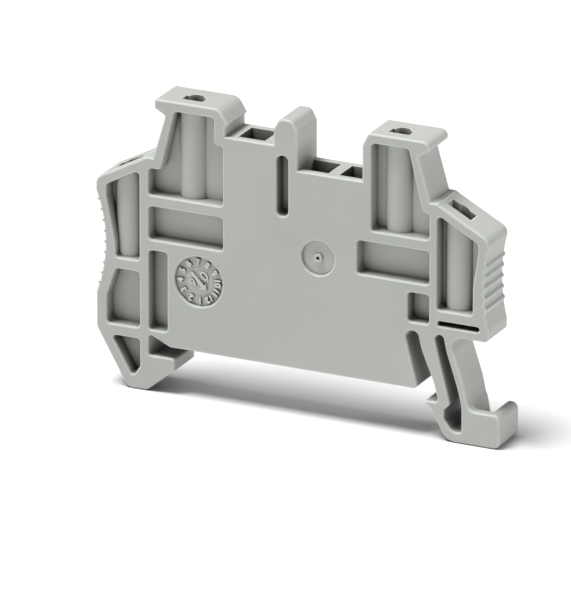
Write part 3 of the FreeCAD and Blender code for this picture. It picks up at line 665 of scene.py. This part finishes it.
class ENDSTOP_OT_make_date_dial(bpy.types.Operator):
    """Sets the numerals, the inner disc, its arrow and its two digits in the round recess"""

    bl_idname = "endstop.make_date_dial"
    bl_label = "Make the date dial"

    def execute(self, context):
        dial = context.scene.endstop_dial
        plastic = context.scene.endstop_plastic
        finish = insert_finish(plastic)
        # Painted highlight: the strokes get a lighter copy of the insert's material.
        strokes = plastic_material("polyamide_strokes_painted_highlight", plastic, finish, plastic.stroke_lightness)
        disc = plastic_material("polyamide_disc", plastic, finish)
        numeral_ring(dial, strokes)
        rotor_disc(dial, disc)
        arrow(dial, strokes)
        for text, size, across, along in YEAR_DIGITS:
            year_digit(text, size, across, along, dial, strokes)
        return {"FINISHED"}


# Stage

def floor(stage):
    """A wide pale floor under the soles."""
    half_width = 4.0
    work = bmesh.new()
    bmesh.ops.create_grid(work, x_segments=1, y_segments=1, size=half_width)
    mesh = bpy.data.meshes.new("floor")
    work.to_mesh(mesh)
    work.free()
    mesh.transform(Matrix.Translation((0, 0, sole_z)))
    material = bpy.data.materials.new("pale_floor")
    material.use_nodes = True
    shader = material.node_tree.nodes["Principled BSDF"]
    shader.inputs["Base Color"].default_value = (*stage.floor_colour, 1)
    shader.inputs["Roughness"].default_value = 0.9
    shader.inputs["Specular IOR Level"].default_value = 0.1
    mesh.materials.append(material)
    piece = bpy.data.objects.new("floor", mesh)
    bpy.context.scene.collection.objects.link(piece)


def sun(name, place, strength, softness):
    """A broad, even light that shines from a place towards the origin."""
    light = bpy.data.lights.new(name, "SUN")
    light.energy = strength
    light.angle = softness
    lamp = bpy.data.objects.new(name, light)
    lamp.location = place
    lamp.rotation_euler = (-Vector(place)).to_track_quat("-Z", "Y").to_euler()
    bpy.context.scene.collection.objects.link(lamp)


def soft_light(stage):
    """Soft studio light: a high main light on the left, weak ones from the front and right, and a room."""
    sun("main_light", (-0.16, -0.1, 0.62), stage.main_light, math.radians(24))
    sun("front_light", (-0.5, -0.75, 0.35), stage.front_light, math.radians(50))
    sun("right_light", (0.7, 0.12, 0.3), stage.right_light, math.radians(16))
    world = bpy.data.worlds.new("studio")
    bpy.context.scene.world = world
    world.use_nodes = True
    back = world.node_tree.nodes["Background"]
    back.inputs["Color"].default_value = (1, 1, 1, 1)
    back.inputs["Strength"].default_value = stage.room_light
    bpy.context.scene.view_settings.view_transform = "Standard"


def camera(stage):
    """A long lens at the photograph's angle, far enough back to see the whole part."""
    data = bpy.data.cameras.new("camera")
    data.lens = stage.lens
    data.sensor_width = 36.0
    data.sensor_fit = "HORIZONTAL"
    data.clip_end = 20.0
    distance = stage.seen_width * MM * stage.lens / data.sensor_width
    flat = math.cos(stage.elevation)
    back = Vector((
        math.sin(stage.azimuth) * flat, -math.cos(stage.azimuth) * flat, math.sin(stage.elevation)))
    eye = bpy.data.objects.new("camera", data)
    eye.location = Vector(stage.aim) + back * distance
    eye.rotation_euler = (-back).to_track_quat("-Z", "Y").to_euler()
    bpy.context.scene.collection.objects.link(eye)
    bpy.context.scene.camera = eye


class ENDSTOP_OT_build_stage(bpy.types.Operator):
    """Sets up the floor, the light and the camera"""

    bl_idname = "endstop.build_stage"
    bl_label = "Build the stage"

    def execute(self, context):
        stage = context.scene.endstop_stage
        camera(stage)
        floor(stage)
        soft_light(stage)
        return {"FINISHED"}


class ENDSTOP_PT_panel(bpy.types.Panel):
    """Lists the steps that dress the end stop"""

    bl_label = "End stop"
    bl_idname = "ENDSTOP_PT_panel"
    bl_space_type = "VIEW_3D"
    bl_region_type = "UI"
    bl_category = "End stop"

    def draw(self, context):
        for operator in OPERATORS:
            self.layout.operator(operator.bl_idname)
        for settings in ("endstop_dial", "endstop_plastic", "endstop_stage"):
            box = self.layout.box()
            group = getattr(context.scene, settings)
            for name in group.__annotations__:
                box.prop(group, name)


OPERATORS = (ENDSTOP_OT_build_stage, ENDSTOP_OT_finish_moulding, ENDSTOP_OT_make_date_dial)
CLASSES = (DialSettings, PlasticSettings, StageSettings, *OPERATORS, ENDSTOP_PT_panel)


def register():
    for cls in CLASSES:
        bpy.utils.register_class(cls)
    bpy.types.Scene.endstop_dial = bpy.props.PointerProperty(type=DialSettings)
    bpy.types.Scene.endstop_plastic = bpy.props.PointerProperty(type=PlasticSettings)
    bpy.types.Scene.endstop_stage = bpy.props.PointerProperty(type=StageSettings)


def unregister():
    del bpy.types.Scene.endstop_stage
    del bpy.types.Scene.endstop_plastic
    del bpy.types.Scene.endstop_dial
    for cls in reversed(CLASSES):
        bpy.utils.unregister_class(cls)


def main():
    """Builds everything in order."""
    register()
    bpy.ops.endstop.build_stage()
    bpy.ops.endstop.finish_moulding()
    bpy.ops.endstop.make_date_dial()


if __name__ == "__main__":
    main()
